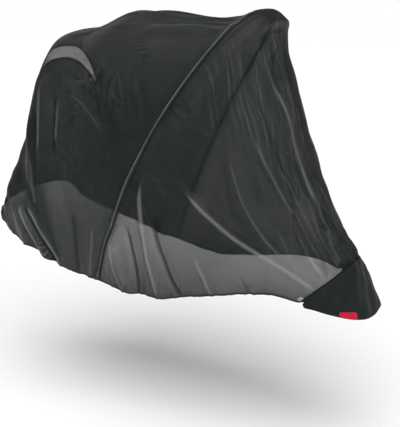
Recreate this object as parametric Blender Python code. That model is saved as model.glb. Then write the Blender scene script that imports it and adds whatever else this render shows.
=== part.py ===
# Fitted mesh cover: two sheer mesh panels and a woven nose, hung from under its roof.
#
# The whole cover follows one surface, worked out from two parameters:
#   station  0 at the rear hem, 10 at the arched seam, 18 at the nose seam, 20 at the nose hem
#   girth    0 at the near hem, 0.5 along the crown, 1 at the far hem
# Each station is an arch from hem to hem. Folds push the surface along its own normal.
# X runs to the front, Y to the far side, Z up. The origin is just under the cloth of the roof.

import bpy
import numpy as np

MM = 0.001

# Cloth and trim sizes
MESH_THICKNESS = 1.5 * MM
NOSE_THICKNESS = 2.5 * MM
NOSE_LIFT = 1.5 * MM
BINDING_THICKNESS = 3.0 * MM
WEBBING_THICKNESS = 1.5 * MM
SEAM_WIDTH = 7.0 * MM
HEM_WIDTH = 8.0 * MM
SLOT_BINDING_WIDTH = 7.0 * MM
GAP = 0.4 * MM
SLOT_GAP = 0.6 * MM
TAG_CLEARANCE = 1.0 * MM
NEAR_TAB_CLEARANCE, FAR_TAB_CLEARANCE = 1.2 * MM, 0.7 * MM

# Where the seams and the slot lie, in stations and girth
REAR_HEM, SLOT_STATION, ARCHED_SEAM, NOSE_SEAM, NOSE_HEM = 0.0, 4.5, 10.0, 18.0, 20.0
CROWN = 0.5
SLOT_HALF_STATIONS = 0.20
SLOT_HALF_GIRTH = 0.15
SLOT_SPREAD_STATIONS = 2.2

# How much closer together the divisions lie at an arch's corners
CORNER_CROWDING = 0.04

# How finely each panel is divided
GIRTH_STEPS = 48
REAR_STEPS, ROOF_STEPS, FRONT_STEPS, NOSE_STEPS = 14, 17, 24, 6

# Edges that turn more sharply than this, in radians, stay crisp
SHARP_EDGE = 0.9

# Arches, in millimetres: foot on the near hem, crown on the centre line, half widths there,
# the squareness of the arch's corners, and how far its middle bows towards the rear
STATION_COLUMNS = ("foot_x", "foot_z", "foot_half_width", "crown_x", "crown_z",
                   "crown_half_width", "squareness", "bow")
STATIONS = (
    ("rear hem",   (-582, -619, 206, -614, -548, 205, 2.6,  0)),
    ("rear 1",     (-534, -644, 222, -604, -472, 211, 2.7,  0)),
    ("rear 2",     (-464, -670, 232, -572, -388, 213, 2.8,  5)),
    ("rear 3",     (-408, -688, 238, -529, -290, 212, 2.8,  8)),
    ("slot rear",  (-362, -704, 240, -512, -179, 217, 2.8, 16)),
    ("slot front", (-330, -713, 240, -440,  -64, 212, 2.9, 22)),
    ("rear slope", (-298, -725, 240, -310,  -31, 217, 2.9, 20)),
    ("rear arch",  (-270, -730, 240, -180,    9, 225, 3.1, 22)),
    ("roof",       (-242, -733, 240,  -15,    1, 230, 3.1, 32)),
    ("roof front", (-228, -736, 240,  125,    2, 232, 3.0, 42)),
    ("arched seam", (-212, -738, 242,  198,   22, 236, 3.0, 48)),
    ("peak",       (-180, -745, 240,  236,   -4, 230, 2.9, 57)),
    ("front 1",    (-100, -761, 236,  257, -106, 217, 2.6, 42)),
    ("front 2",    ( -18, -762, 230,  288, -211, 207, 2.5, 29)),
    ("front 3",    (  65, -750, 222,  313, -318, 194, 2.4, 18)),
    ("front 4",    ( 148, -733, 212,  345, -418, 179, 2.4, 12)),
    ("front 5",    ( 230, -719, 199,  387, -502, 163, 2.4,  8)),
    ("front 6",    ( 308, -714, 182,  432, -579, 144, 2.5,  4)),
    ("nose seam",  ( 386, -729, 160,  480, -649, 126, 2.7,  0)),
    ("nose",       ( 390, -737, 156,  512, -711, 126, 2.8,  0)),
    ("nose hem",   ( 394, -745, 150,  546, -789, 122, 2.8,  0)),
)

# Folds that run along the cover, from one station to another; heights and half widths in millimetres
LONG_COLUMNS = ("from_station", "from_girth", "to_station", "to_girth", "bend",
                "half_width", "height", "both_sides")
LONG_FOLDS = (
    ("front valley near", (11.4, 0.420, 15.8, 0.404,  0.004, 22, -8, False)),
    ("front ridge near",  (11.6, 0.430, 16.4, 0.424,  0.020, 24,  9, False)),
    ("front valley mid",  (11.4, 0.496, 17.6, 0.545,  0.002, 22, -7, False)),
    ("front ridge mid",   (12.0, 0.500, 17.6, 0.568,  0.022, 24,  7, False)),
    ("front ridge far",   (11.5, 0.610, 16.2, 0.600, -0.015, 26,  8, False)),
    ("front valley far",  (11.8, 0.650, 15.4, 0.655,  0.010, 24, -7, False)),
    ("side ridge",        (12.2, 0.352, 17.2, 0.140,  0.016, 26, 11, True)),
    ("low ridge",         (10.2, 0.214, 18.6, 0.086,  0.058, 24,  9, True)),
    ("low front valley",  (15.0, 0.400, 17.6, 0.215,  0.000, 22, -7, True)),
    ("roof valley",       (7.2,  0.430, 10.4, 0.420,  0.020, 22, -6, True)),
    ("roof ridge",        (7.3,  0.404, 10.2, 0.406,  0.016, 22,  6, True)),
    ("rear crease",       (5.6,  0.358,  6.9, 0.346,  0.000, 20, -7, True)),
    ("rear diagonal",     (5.9,  0.336,  7.8, 0.258,  0.000, 22,  6, True)),
)

# Folds that rise from the hem, from one girth to another
RISING_COLUMNS = ("from_girth", "from_station", "to_girth", "to_station", "bend",
                  "half_width", "height", "both_sides")
RISING_FOLDS = (
    ("rear gather 1",   (-0.05,  1.8, 0.150,  1.75,  0.00, 26,  10, True)),
    ("rear gather 2",   (-0.05,  3.9, 0.165,  2.40, -0.40, 26,  11, True)),
    ("rear gather 3",   (-0.05,  5.6, 0.165,  2.95, -0.20, 24,  10, True)),
    ("rear side ridge", (0.215,  4.82, 0.375, 5.00,  0.10, 24,  11, True)),
    ("rear side valley", (0.225, 5.36, 0.345, 5.34,  0.08, 20, -10, True)),
    ("rear side lip",   (0.235,  5.58, 0.345, 5.70,  0.04, 20,   9, True)),
    ("side gather 1",   (-0.05, 12.8, 0.105, 10.40, -0.15, 22,   8, True)),
    ("side gather 2",   (-0.05, 12.6, 0.140, 10.75,  0.30, 22,  -8, True)),
    ("side gather 3",   (-0.05, 13.7, 0.225, 10.80,  0.00, 24,  10, True)),
    ("side gather 4",   (-0.05, 14.8, 0.190, 11.35,  0.00, 24,  -9, True)),
    ("side gather 5",   (-0.05, 15.9, 0.090, 14.60,  0.00, 26,   7, True)),
    ("peak edge",       (0.300, 11.05, 0.700, 11.05, 0.00, 16,   5, False)),
)
FOLD_FADE = 0.2

# The far side's folds mirror the near side's, moved along and a little lower
FAR_SHIFT_STATIONS = 0.35
FAR_SHARE = 0.85

# Slow unevenness: height in millimetres, cycles for each station, cycles over the girth, phase
WAVE_COLUMNS = ("height", "per_station", "over_girth", "phase")
WAVES = (
    (1.8, 0.37, 3.0, 0.4),
    (1.4, 0.61, -5.0, 1.9),
    (1.0, 0.83, 8.0, 4.1),
)

# Small pieces, in stations and girth
TAG_STATIONS, TAG_GIRTH = (19.62, 19.94), (0.190, 0.303)
TAB_STATIONS, TAB_GIRTH = (17.79, 17.96), (0.004, 0.031)

# Colour, roughness
MATERIALS = {
    "mesh": ((0.030, 0.034, 0.033, 1.0), 0.75),
    "nose_cloth": ((0.022, 0.026, 0.024, 1.0), 0.80),
    "binding": ((0.040, 0.044, 0.043, 1.0), 0.60),
    "webbing": ((0.260, 0.265, 0.265, 1.0), 0.70),
    "tag": ((0.640, 0.010, 0.055, 1.0), 0.55),
}


def clear_scene():
    for item in list(bpy.data.objects):
        bpy.data.objects.remove(item, do_unlink=True)


def station_values(station):
    """Columns of the station table, carried smoothly (Catmull-Rom) between its rows."""
    rows = np.array([row for _, row in STATIONS], float)
    length_columns = [STATION_COLUMNS.index(name) for name in STATION_COLUMNS if name != "squareness"]
    rows[:, length_columns] *= MM
    last = len(rows) - 1
    index = np.clip(np.floor(station).astype(int), 0, last - 1)
    part = (station - index)[..., None]
    before, start = rows[np.maximum(index - 1, 0)], rows[index]
    end, after = rows[index + 1], rows[np.minimum(index + 2, last)]
    start_slope, end_slope = (end - before) / 2, (after - start) / 2
    values = ((2 * part**3 - 3 * part**2 + 1) * start + (part**3 - 2 * part**2 + part) * start_slope
              + (3 * part**2 - 2 * part**3) * end + (part**3 - part**2) * end_slope)
    return dict(zip(STATION_COLUMNS, np.moveaxis(values, -1, 0)))


def smooth_step(value):
    value = np.clip(value, 0, 1)
    return value * value * (3 - 2 * value)


def arch_point(station, girth):
    """A point of the plain surface: a superellipse from foot to crown, bowed towards the rear."""
    station, girth = np.broadcast_arrays(np.asarray(station, float), np.asarray(girth, float))
    arch = station_values(station)
    run, rise = arch["crown_x"] - arch["foot_x"], arch["crown_z"] - arch["foot_z"]
    chord = np.hypot(run, rise)
    turn = np.pi * (girth - CROWN) + CORNER_CROWDING * np.sin(4 * np.pi * (girth - CROWN))
    angle = np.arctan2(np.sin(turn) * np.sqrt(chord / arch["crown_half_width"]), np.cos(turn))
    power = arch["squareness"]
    radius = (np.abs(np.cos(angle))**power + np.abs(np.sin(angle))**power)**(-1 / power)
    height, side = radius * np.cos(angle), radius * np.sin(angle)
    half_width = (arch["foot_half_width"]
                  + (arch["crown_half_width"] - arch["foot_half_width"]) * smooth_step(height))
    bowed = 4 * height * (1 - height) * arch["bow"]
    return np.stack([arch["foot_x"] + run * height - rise / chord * bowed,
                     side * half_width,
                     arch["foot_z"] + rise * height + run / chord * bowed], -1)


def arch_slopes(station, girth):
    """How the plain surface moves for one station and for one whole girth."""
    station_step, girth_step = 0.02, 0.002
    along = (arch_point(station + station_step, girth) - arch_point(station - station_step, girth))
    around = (arch_point(station, girth + girth_step) - arch_point(station, girth - girth_step))
    return along / (2 * station_step), around / (2 * girth_step)


def fold_height(across, place, half_width, height):
    """A soft ridge or trough: a bell across the fold, fading out at both of its ends."""
    ends = smooth_step(place / FOLD_FADE) * smooth_step((1 - place) / FOLD_FADE)
    return height * MM * ends * np.exp(-(across / (half_width * MM))**2)


def folds(station, girth, along, around):
    """All folds together, measured along the surface's normal."""
    station_length = np.linalg.norm(along, axis=-1)
    girth_length = np.linalg.norm(around, axis=-1)
    total = np.zeros(np.shape(station_length))
    for side in (1, -1):
        near = side == 1
        side_girth = girth if near else 1 - girth
        side_station = station if near else station - FAR_SHIFT_STATIONS
        share = 1 if near else FAR_SHARE
        for _, row in LONG_FOLDS:
            fold = dict(zip(LONG_COLUMNS, row))
            if near or fold["both_sides"]:
                place = ((side_station - fold["from_station"])
                         / (fold["to_station"] - fold["from_station"]))
                line = (fold["from_girth"] + (fold["to_girth"] - fold["from_girth"]) * place
                        + fold["bend"] * 4 * place * (1 - place))
                across = (side_girth - line) * girth_length
                total += share * fold_height(across, place, fold["half_width"], fold["height"])
        for _, row in RISING_FOLDS:
            fold = dict(zip(RISING_COLUMNS, row))
            if near or fold["both_sides"]:
                place = (side_girth - fold["from_girth"]) / (fold["to_girth"] - fold["from_girth"])
                line = (fold["from_station"] + (fold["to_station"] - fold["from_station"]) * place
                        + fold["bend"] * 4 * place * (1 - place))
                across = (side_station - line) * station_length
                total += share * fold_height(across, place, fold["half_width"], fold["height"])
    for row in WAVES:
        wave = dict(zip(WAVE_COLUMNS, row))
        total += wave["height"] * MM * np.sin(
            2 * np.pi * (wave["per_station"] * station + wave["over_girth"] * girth) + wave["phase"])
    return total


def cover_point(station, girth, lift=0.0):
    """A point of the folded surface, lifted off it by a distance along the normal."""
    station, girth = np.broadcast_arrays(np.asarray(station, float), np.asarray(girth, float))
    along, around = arch_slopes(station, girth)
    normal = np.cross(along, around)
    normal /= np.linalg.norm(normal, axis=-1, keepdims=True)
    return arch_point(station, girth) + normal * (folds(station, girth, along, around) + lift)[..., None]


def stations_for(distance, station, girth):
    """The step in station that moves a point by a distance square to its arch."""
    along, around = arch_slopes(station, girth)
    return distance * np.linalg.norm(around, axis=-1) / np.linalg.norm(np.cross(along, around), axis=-1)


def girth_for(distance, station, girth):
    """The step in girth that moves a point by a distance square to the hem."""
    along, around = arch_slopes(station, girth)
    return distance * np.linalg.norm(along, axis=-1) / np.linalg.norm(np.cross(along, around), axis=-1)


def material(name):
    colour, roughness = MATERIALS[name]
    found = bpy.data.materials.get(name)
    if found is None:
        found = bpy.data.materials.new(name)
        found.use_nodes = True
        shader = found.node_tree.nodes["Principled BSDF"]
        shader.inputs["Base Color"].default_value = colour
        shader.inputs["Roughness"].default_value = roughness
        shader.inputs["Metallic"].default_value = 0.0
        found.diffuse_color = colour
    return found


def rim_faces(faces, count):
    """Quads that join the open edges of the outer faces to the same edges of the inner ones."""
    starts, ends = faces.ravel(), np.roll(faces, -1, axis=1).ravel()
    is_open = ~np.isin(starts * count + ends, ends * count + starts)
    starts, ends = starts[is_open], ends[is_open]
    return np.stack([ends, starts, starts + count, ends + count], -1)


def add_sheet(name, station, girth, faces, thickness, material_name, lift=0.0):
    """One closed piece of cloth: an outer and an inner face half a thickness off the surface."""
    used, faces = np.unique(faces, return_inverse=True)
    faces = faces.reshape(-1, 4)
    station, girth = np.broadcast_arrays(station, girth)
    station, girth = station.ravel()[used], girth.ravel()[used]
    points = np.concatenate([cover_point(station, girth, lift + thickness / 2),
                             cover_point(station, girth, lift - thickness / 2)])
    count = len(used)
    faces = np.concatenate([faces, faces[:, ::-1] + count, rim_faces(faces, count)])
    mesh = bpy.data.meshes.new(name)
    mesh.from_pydata(points.tolist(), [], faces.tolist())
    mesh.materials.append(material(material_name))
    mesh.shade_smooth()
    mesh.set_sharp_from_angle(angle=SHARP_EDGE)
    item = bpy.data.objects.new(name, mesh)
    bpy.context.scene.collection.objects.link(item)


def grid_faces(indices):
    """Quads of a grid of vertex indices, wound so that they face outwards."""
    corners = (indices[:-1, :-1], indices[1:, :-1], indices[1:, 1:], indices[:-1, 1:])
    return np.stack([corner.ravel() for corner in corners], -1)


def spread(start, end, steps):
    """Rows running from a start line to an end line in even steps."""
    place = np.linspace(0, 1, steps + 1)[:, None]
    return start + (end - start) * place


def girth_line():
    return np.linspace(0, 1, GIRTH_STEPS + 1)


def seam_line(station, offset):
    """Stations of a line that runs beside a seam at a distance from it."""
    girth = girth_line()
    return station + stations_for(offset, np.full(girth.shape, station), girth)


def slot_opening(station, girth):
    """How far the slot's lens has pushed a point of the rear panel along, in stations."""
    inside = np.clip(1 - ((girth - CROWN) / SLOT_HALF_GIRTH)**2, 0, 1)
    nearness = np.clip(1 - np.abs(station - SLOT_STATION) / SLOT_SPREAD_STATIONS, 0, 1)
    return SLOT_HALF_STATIONS * np.sqrt(inside) * smooth_step(nearness)


def rear_edge_stations():
    """Stations at which the rear panel's rows meet its side hems."""
    front = seam_line(ARCHED_SEAM, -(SEAM_WIDTH / 2 + GAP))
    rear_rows = spread(np.full(front.shape, REAR_HEM), np.full(front.shape, SLOT_STATION), REAR_STEPS)
    roof_rows = spread(np.full(front.shape, SLOT_STATION), front, ROOF_STEPS)
    return rear_rows, roof_rows


def make_rear_panel():
    rear_rows, roof_rows = rear_edge_stations()
    girth = girth_line()
    rear_stations = rear_rows - slot_opening(rear_rows, girth)
    roof_stations = roof_rows + slot_opening(roof_rows, girth)
    rear_indices = np.arange(rear_rows.size).reshape(rear_rows.shape)
    roof_indices = np.arange(roof_rows.size).reshape(roof_rows.shape) + rear_rows.size
    closed = np.abs(girth - CROWN) >= SLOT_HALF_GIRTH
    roof_indices[0, closed] = rear_indices[-1, closed]
    faces = np.concatenate([grid_faces(rear_indices), grid_faces(roof_indices)])
    add_sheet("rear_panel", np.concatenate([rear_stations, roof_stations]), girth, faces,
              MESH_THICKNESS, "mesh")


def front_rows():
    return spread(seam_line(ARCHED_SEAM, SEAM_WIDTH / 2 + GAP), seam_line(NOSE_SEAM, -GAP / 2),
                  FRONT_STEPS)


def add_rows(name, stations, girths, thickness, material_name, lift=0.0):
    indices = np.arange(stations.size).reshape(stations.shape)
    add_sheet(name, stations, girths, grid_faces(indices), thickness, material_name, lift)


def make_front_panel():
    add_rows("front_panel", front_rows(), girth_line(), MESH_THICKNESS, "mesh")


def make_nose_panel():
    start = seam_line(NOSE_SEAM, GAP / 2)
    rows = spread(start, np.full(start.shape, NOSE_HEM), NOSE_STEPS)
    add_rows("nose_panel", rows, girth_line(), NOSE_THICKNESS, "nose_cloth", NOSE_LIFT)


def make_seam_binding():
    rows = np.stack([seam_line(ARCHED_SEAM, -SEAM_WIDTH / 2), seam_line(ARCHED_SEAM, SEAM_WIDTH / 2)])
    add_rows("seam_binding", rows, girth_line(), BINDING_THICKNESS, "binding")


def hem_rail(distance):
    """Stations and girths of a line outside the open hem, from the near nose round the rear."""
    rear_rows, roof_rows = rear_edge_stations()
    sides = []
    for column in (0, -1):
        stations = np.concatenate([rear_rows[:, column], roof_rows[1:, column], front_rows()[:, column]])
        sides.append(stations)
    near_girth = -girth_for(distance, sides[0], np.zeros(sides[0].shape))
    far_girth = 1 + girth_for(distance, sides[1], np.ones(sides[1].shape))
    back_girth = girth_line()[1:-1]
    back_station = -stations_for(distance, np.zeros(back_girth.shape), back_girth)
    corner_station = -stations_for(distance, np.zeros(1), np.zeros(1))
    sides[0][0] = corner_station[0]
    sides[1][0] = corner_station[0]
    stations = np.concatenate([sides[0][::-1], back_station, sides[1]])
    girths = np.concatenate([near_girth[::-1], back_girth, far_girth])
    return stations, girths


def make_hem_binding():
    inner, outer = hem_rail(GAP), hem_rail(GAP + HEM_WIDTH)
    stations = np.stack([outer[0], inner[0]])
    girths = np.stack([outer[1], inner[1]])
    add_rows("hem_binding", stations, girths, BINDING_THICKNESS, "binding")


def slot_rail(distance):
    """Stations and girths of a ring inside the slot, at a distance from its edge."""
    girth = girth_line()
    cut = girth[np.abs(girth - CROWN) < SLOT_HALF_GIRTH]
    angle = np.concatenate([[np.pi], np.arccos((cut - CROWN) / SLOT_HALF_GIRTH), [0.0]])
    angle = np.concatenate([angle, -angle[-2:0:-1]])
    middle_station, middle_girth = np.array([SLOT_STATION]), np.array([CROWN])
    half_stations = SLOT_HALF_STATIONS - stations_for(distance, middle_station, middle_girth)
    half_girth = SLOT_HALF_GIRTH - girth_for(distance, middle_station, middle_girth)
    return SLOT_STATION + half_stations * np.sin(angle), CROWN + half_girth * np.cos(angle)


def make_slot_binding():
    outer, inner = slot_rail(SLOT_GAP), slot_rail(SLOT_GAP + SLOT_BINDING_WIDTH)
    count = len(outer[0])
    ring = np.append(np.arange(count), 0)
    add_sheet("slot_binding", np.concatenate([outer[0], inner[0]]), np.concatenate([outer[1], inner[1]]),
              grid_faces(np.stack([ring + count, ring])), BINDING_THICKNESS, "binding")


def make_patch(name, stations, girths, steps, lift, material_name):
    """A small piece of webbing lying on the outer face of a panel."""
    rows = np.linspace(*stations, steps[0] + 1)[:, None] * np.ones(steps[1] + 1)
    add_rows(name, rows, np.linspace(*girths, steps[1] + 1), WEBBING_THICKNESS, material_name, lift)


def make_tab(name, girths, clearance):
    lift = MESH_THICKNESS / 2 + clearance + WEBBING_THICKNESS / 2
    make_patch(name, TAB_STATIONS, girths, (3, 2), lift, "webbing")


def make_small_pieces():
    on_nose = NOSE_LIFT + NOSE_THICKNESS / 2 + TAG_CLEARANCE + WEBBING_THICKNESS / 2
    make_patch("nose_tag", TAG_STATIONS, TAG_GIRTH, (3, 8), on_nose, "tag")
    make_tab("near_tab", TAB_GIRTH, NEAR_TAB_CLEARANCE)
    make_tab("far_tab", (1 - TAB_GIRTH[1], 1 - TAB_GIRTH[0]), FAR_TAB_CLEARANCE)


clear_scene()
make_rear_panel()
make_front_panel()
make_nose_panel()
make_seam_binding()
make_hem_binding()
make_slot_binding()
make_small_pieces()
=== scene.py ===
# Looks of the fitted mesh cover: net panels, woven nose, elastic edges, seam tape, tabs and tag.
#
# The cover follows one surface, worked out from two parameters:
#   station  0 at the rear hem, 10 at the arched seam, 18 at the nose seam, 20 at the nose hem
#   girth    0 at the near hem, 0.5 along the crown, 1 at the far hem
# X runs to the front, Y to the far side, Z up, in metres.

import bmesh
import bpy
import numpy as np
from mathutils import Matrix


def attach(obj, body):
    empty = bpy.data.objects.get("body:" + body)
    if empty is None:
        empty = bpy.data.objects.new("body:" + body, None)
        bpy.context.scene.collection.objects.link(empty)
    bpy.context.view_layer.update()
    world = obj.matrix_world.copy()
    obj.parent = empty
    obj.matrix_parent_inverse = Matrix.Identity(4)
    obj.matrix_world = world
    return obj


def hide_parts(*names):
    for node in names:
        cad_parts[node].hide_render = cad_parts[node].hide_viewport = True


bl_info = {
    "name": "Fitted mesh cover",
    "version": (1, 0, 0),
    "blender": (4, 5, 0),
    "location": "3D View > Sidebar > Mesh Cover",
    "description": "Dresses a fitted mesh cover: net panels, woven nose, elastic edges, tape, tabs and tag",
    "category": "Add Mesh",
}

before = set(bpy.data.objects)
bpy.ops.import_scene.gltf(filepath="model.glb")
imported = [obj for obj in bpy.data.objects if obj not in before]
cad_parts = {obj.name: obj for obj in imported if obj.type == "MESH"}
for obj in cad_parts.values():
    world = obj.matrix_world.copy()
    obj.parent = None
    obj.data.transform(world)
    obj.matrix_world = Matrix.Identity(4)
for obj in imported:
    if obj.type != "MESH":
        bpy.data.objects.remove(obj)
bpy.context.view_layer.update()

MM = 0.001
BODY = "root"
CLOTH_UV = "cloth"
CROWDING, CREASE, PULL = "crowding", "crease", "pull"

# Where the seams and the slot lie, in stations and girth
REAR_HEM, SLOT_STATION, ARCHED_SEAM, NOSE_SEAM, NOSE_HEM = 0.0, 4.5, 10.0, 18.0, 20.0
CROWN = 0.5
SLOT_HALF_STATIONS, SLOT_HALF_GIRTH, SLOT_SPREAD_STATIONS = 0.20, 0.15, 2.2
CORNER_CROWDING = 0.04
TAG_STATIONS, TAG_GIRTH = (19.62, 19.94), (0.190, 0.303)
TAB_STATIONS, TAB_GIRTH = (17.79, 17.96), (0.004, 0.031)

# Arches in millimetres: foot on the near hem, crown on the centre line, half widths there,
# the squareness of the arch's corners, and how far its middle bows towards the rear
STATION_COLUMNS = ("foot_x", "foot_z", "foot_half_width", "crown_x", "crown_z",
                   "crown_half_width", "squareness", "bow")
STATIONS = (
    ("rear hem",   (-582, -619, 206, -614, -548, 205, 2.6,  0)),
    ("rear 1",     (-534, -644, 222, -604, -472, 211, 2.7,  0)),
    ("rear 2",     (-464, -670, 232, -572, -388, 213, 2.8,  5)),
    ("rear 3",     (-408, -688, 238, -529, -290, 212, 2.8,  8)),
    ("slot rear",  (-362, -704, 240, -512, -179, 217, 2.8, 16)),
    ("slot front", (-330, -713, 240, -440,  -64, 212, 2.9, 22)),
    ("rear slope", (-298, -725, 240, -310,  -31, 217, 2.9, 20)),
    ("rear arch",  (-270, -730, 240, -180,    9, 225, 3.1, 22)),
    ("roof",       (-242, -733, 240,  -15,    1, 230, 3.1, 32)),
    ("roof front", (-228, -736, 240,  125,    2, 232, 3.0, 42)),
    ("arched seam", (-212, -738, 242,  198,   22, 236, 3.0, 48)),
    ("peak",       (-180, -745, 240,  236,   -4, 230, 2.9, 57)),
    ("front 1",    (-100, -761, 236,  257, -106, 217, 2.6, 42)),
    ("front 2",    ( -18, -762, 230,  288, -211, 207, 2.5, 29)),
    ("front 3",    (  65, -750, 222,  313, -318, 194, 2.4, 18)),
    ("front 4",    ( 148, -733, 212,  345, -418, 179, 2.4, 12)),
    ("front 5",    ( 230, -719, 199,  387, -502, 163, 2.4,  8)),
    ("front 6",    ( 308, -714, 182,  432, -579, 144, 2.5,  4)),
    ("nose seam",  ( 386, -729, 160,  480, -649, 126, 2.7,  0)),
    ("nose",       ( 390, -737, 156,  512, -711, 126, 2.8,  0)),
    ("nose hem",   ( 394, -745, 150,  546, -789, 122, 2.8,  0)),
)

# Folds along a line that runs from one place to another: along the cover in the first table, and
# up from the hem in the second. A run is measured along the fold and a line across it: stations and
# girths in the first table, girths and stations in the second. Widths and heights in millimetres.
FOLD_COLUMNS = ("from_run", "from_line", "to_run", "to_line", "bend", "half_width", "height", "both_sides")
LONG_FOLDS = (
    # the broad ones, which the solid cloth has too
    # front face
    (11.4, 0.420, 15.8, 0.404, 0.004, 22, -8, False),
    (11.6, 0.430, 16.4, 0.424, 0.020, 24, 9, False),
    (11.4, 0.496, 17.6, 0.545, 0.002, 22, -7, False),
    (12.0, 0.500, 17.6, 0.568, 0.022, 24, 7, False),
    (11.5, 0.610, 16.2, 0.600, -0.015, 26, 8, False),
    (11.8, 0.650, 15.4, 0.655, 0.010, 24, -7, False),
    # sides
    (12.2, 0.352, 17.2, 0.140, 0.016, 26, 11, True),
    # low front
    (10.2, 0.214, 18.6, 0.086, 0.058, 24, 9, True),
    (15.0, 0.400, 17.6, 0.215, 0.000, 22, -7, True),
    # roof
    (7.2, 0.430, 10.4, 0.420, 0.020, 22, -6, True),
    (7.3, 0.404, 10.2, 0.406, 0.016, 22, 6, True),
    # rear
    (5.6, 0.358, 6.9, 0.346, 0.000, 20, -7, True),
    (5.9, 0.336, 7.8, 0.258, 0.000, 22, 6, True),
    # creases on top of them
    # front face
    (10.8, 0.398, 15.6, 0.404, 0.006, 9, -4, False),
    (11.9, 0.432, 16.3, 0.424, 0.020, 8, 5, False),
    (11.5, 0.498, 17.6, 0.545, 0.002, 8, -5, False),
    (12.3, 0.503, 17.3, 0.572, 0.024, 8, 5, False),
    (11.8, 0.462, 16.9, 0.492, 0.008, 9, 4, False),
    (12.9, 0.470, 17.5, 0.508, 0.004, 8, -4, False),
    (11.4, 0.540, 15.9, 0.620, 0.006, 10, -4, False),
    (12.6, 0.376, 16.6, 0.330, 0.012, 10, 4, True),
    # sides
    (12.4, 0.346, 17.0, 0.146, 0.014, 8, 4, True),
    # low front
    (11.8, 0.246, 19.2, 0.055, 0.018, 7, 8, True),
    (15.3, 0.390, 17.3, 0.228, -0.008, 9, -5, True),
    (16.6, 0.345, 17.9, 0.222, 0.000, 8, -5, True),
    (16.2, 0.300, 17.9, 0.180, 0.006, 8, 4, True),
    (16.4, 0.440, 17.9, 0.330, 0.004, 8, 4, True),
    (16.0, 0.520, 17.9, 0.440, 0.006, 9, -4, True),
    # roof
    (7.4, 0.434, 9.95, 0.422, 0.030, 9, -4, True),
    (7.5, 0.412, 9.7, 0.412, 0.015, 9, 4, True),
    (6.3, 0.470, 9.9, 0.458, 0.006, 8, 4, True),
    (6.9, 0.487, 9.9, 0.480, -0.004, 7, -4, True),
    (5.3, 0.440, 7.6, 0.462, 0.000, 10, 4, True),
    # rear
    (5.8, 0.354, 6.9, 0.346, 0.000, 8, -4, True),
    (6.0, 0.334, 7.7, 0.260, 0.000, 8, 4, True),
)
RISING_FOLDS = (
    # the broad ones, which the solid cloth has too
    # rear
    (-0.05, 1.8, 0.150, 1.75, 0.00, 26, 10, True),
    (-0.05, 3.9, 0.165, 2.40, -0.40, 26, 11, True),
    (-0.05, 5.6, 0.165, 2.95, -0.20, 24, 10, True),
    (0.215, 4.82, 0.375, 5.00, 0.10, 24, 11, True),
    (0.225, 5.36, 0.345, 5.34, 0.08, 20, -10, True),
    (0.235, 5.58, 0.345, 5.70, 0.04, 20, 9, True),
    # sides
    (-0.05, 12.8, 0.105, 10.40, -0.15, 22, 8, True),
    (-0.05, 12.6, 0.140, 10.75, 0.30, 22, -8, True),
    (-0.05, 13.7, 0.225, 10.80, 0.00, 24, 10, True),
    (-0.05, 14.8, 0.190, 11.35, 0.00, 24, -9, True),
    (-0.05, 15.9, 0.090, 14.60, 0.00, 26, 7, True),
    # peak
    (0.300, 11.05, 0.700, 11.05, 0.00, 16, 5, False),
    # creases on top of them
    # rear
    (-0.02, 1.82, 0.140, 1.76, 0.00, 8, 5, True),
    (-0.02, 3.60, 0.150, 2.48, -0.42, 8, 6, True),
    (-0.02, 5.10, 0.150, 2.96, -0.22, 8, 6, True),
    (-0.02, 2.70, 0.120, 2.12, -0.20, 8, -5, True),
    (-0.02, 4.30, 0.130, 2.72, -0.30, 8, -5, True),
    (-0.02, 0.80, 0.180, 1.05, 0.00, 9, 3, True),
    # beside the slot's ends
    (0.232, 4.84, 0.362, 4.97, 0.04, 9, 5, True),
    (0.238, 5.36, 0.335, 5.36, 0.08, 8, -6, True),
    (0.248, 5.60, 0.330, 5.68, 0.04, 8, 5, True),
    (0.180, 4.30, 0.330, 4.62, 0.06, 9, -4, True),
    (0.120, 3.60, 0.260, 4.10, 0.10, 10, 4, True),
    # sides
    (-0.02, 12.05, 0.090, 10.50, -0.12, 8, 5, True),
    (-0.02, 12.25, 0.125, 10.95, 0.25, 7, -5, True),
    (-0.02, 13.25, 0.205, 11.00, 0.00, 8, 6, True),
    (-0.02, 14.10, 0.175, 11.55, 0.00, 8, -6, True),
    (0.110, 11.78, 0.222, 10.88, 0.08, 8, 3, True),
    (-0.02, 15.10, 0.120, 13.60, 0.10, 9, 5, True),
    (-0.02, 16.40, 0.070, 15.60, 0.00, 8, -4, True),
    (-0.02, 8.20, 0.110, 7.70, 0.10, 10, 4, True),
    (-0.02, 6.70, 0.140, 6.20, 0.00, 10, -4, True),
    # peak
    (0.330, 11.04, 0.670, 11.04, 0.00, 7, 3, False),
    # under the peak
    (0.340, 10.45, 0.470, 10.62, 0.05, 8, -3, True),
)
FOLD_FADE = 0.2
# The nose seam flattens the narrow ones over this many stations
NOSE_HOLD = 0.3

# The far side's folds mirror the near side's, moved along and a little lower
FAR_SHIFT_STATIONS = 0.35
FAR_SHARE = 0.85

# Slow unevenness: height in millimetres, cycles for each station, cycles over the girth, phase
WAVE_COLUMNS = ("height", "per_station", "over_girth", "phase")
WAVES = (
    (1.8, 0.37, 3.0, 0.4),
    (1.4, 0.61, -5.0, 1.9),
    (1.0, 0.83, 8.0, 4.1),
)

# Puckers where the elastic draws the net in: height in millimetres, waves for each metre of hem, phase
PUCKERS = (
    (0.9, 34.0, 0.0),
    (0.7, 53.0, 1.3),
    (0.5, 81.0, 4.0),
)
PUCKER_REACH = 38 * MM
HEM_DRAW = 4 * MM
GATHER_REACH = 70 * MM

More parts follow.
